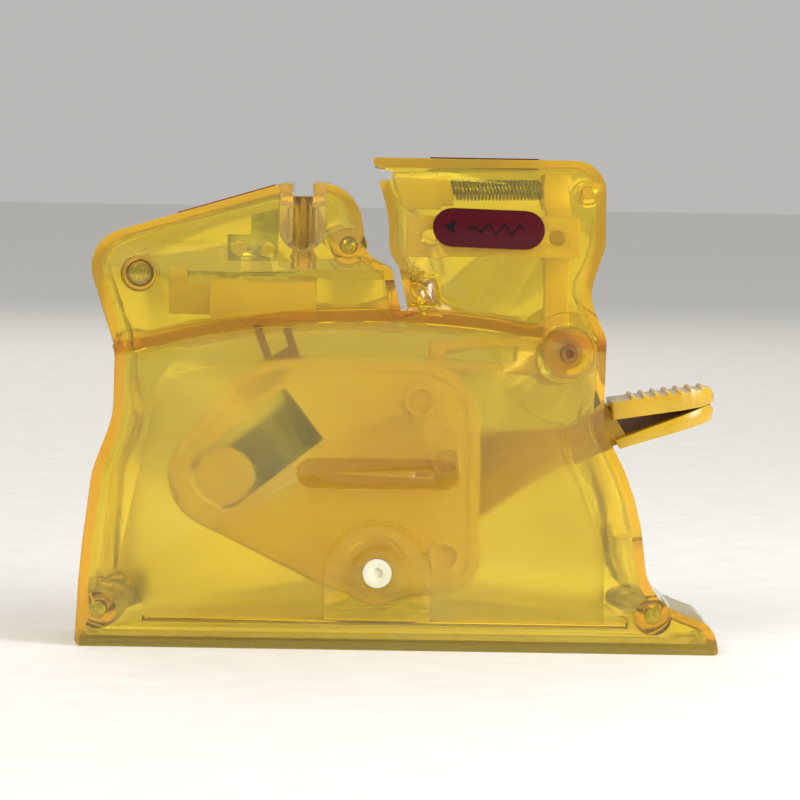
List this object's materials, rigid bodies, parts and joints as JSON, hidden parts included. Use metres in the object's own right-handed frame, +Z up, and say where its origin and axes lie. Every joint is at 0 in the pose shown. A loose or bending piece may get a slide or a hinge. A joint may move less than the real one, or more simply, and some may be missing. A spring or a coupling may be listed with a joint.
{
  "type": "needle threader",
  "caption": "Desk needle threader: translucent moulded case with a needle funnel, a thread slit, a thread cutter and a sprung press lever that drives a fine hook through the needle's eye.",
  "frame": {"origin": "middle of the case on the resting plane, on the parting plane between the shells", "axes": "+X towards the press lever, +Y to the back, +Z up"},
  "size_m": [0.0781, 0.0178, 0.0597],
  "materials": {
    "amber_shell": "clear tinted polystyrene, moulded, polished outside",
    "mechanism_yellow": "opaque acetal moulding",
    "lever_yellow": "tinted polycarbonate moulding",
    "cream_acetal": "cream acetal, turned",
    "brown_pin": "brown acetal, moulded",
    "pale_acetal": "pale yellow acetal moulding",
    "spring_steel_dark": "oiled spring wire, coiled",
    "spring_steel_bright": "bright spring wire, coiled",
    "sheet_steel": "stamped steel sheet, deburred",
    "hook_steel": "photo-etched stainless steel",
    "funnel_grey": "smoky moulded polycarbonate",
    "blade_steel": "ground razor steel",
    "screw_steel": "zinc-plated steel, cold-headed",
    "maroon_print": "screen-printed film, glossy",
    "red_print": "screen-printed film, glossy"
  },
  "bodies": {
    "case": {"front_shell": "amber_shell", "rear_shell": "amber_shell", "mechanism_plate": "mechanism_yellow", "main_pivot": "cream_acetal", "bracket_pin": "brown_pin", "return_spring": "spring_steel_dark", "hook_guide": "pale_acetal", "needle_tube": "funnel_grey", "needle_guide_plate": "sheet_steel", "head_frame": "mechanism_yellow", "head_bracket": "mechanism_yellow", "clamp_spring": "spring_steel_bright", "cutter_blade": "blade_steel", "head_label": "maroon_print", "nose_label": "red_print", "top_label": "maroon_print", "screw_nose_left": "screw_steel", "screw_nose_right": "screw_steel", "screw_foot_left": "screw_steel", "screw_foot_right": "screw_steel"},
    "lever": {"lever": "lever_yellow", "spring_seat": "mechanism_yellow"},
    "hook_slide": {"hook_slide": "pale_acetal", "threading_hook": "hook_steel"},
    "thread_clamp": {"thread_clamp": "pale_acetal"}
  },
  "joints": [
    {"name": "lever_press", "type": "hinge", "parent": "case", "child": "lever", "pos_m": [-0.0025, 0, 0.0093], "axis": [0, 1, 0], "range_deg": [0, 20], "stiffness_Nm_per_rad": 0.2, "springref_deg": -17.19, "deforming": ["return_spring"]},
    {"name": "hook_slide", "type": "slide", "parent": "case", "child": "hook_slide", "axis": [1, 0, 0], "range_m": [0, 0.0121]},
    {"name": "clamp_slide", "type": "slide", "parent": "case", "child": "thread_clamp", "axis": [1, 0, 0], "range_m": [0, 0.0015], "stiffness_N_per_m": 300, "springref_m": -0.001, "deforming": ["clamp_spring"]}
  ],
  "couplings": [
    {"joint": "hook_slide", "follows": "lever_press", "m_per_rad": 0.034499}
  ]
}
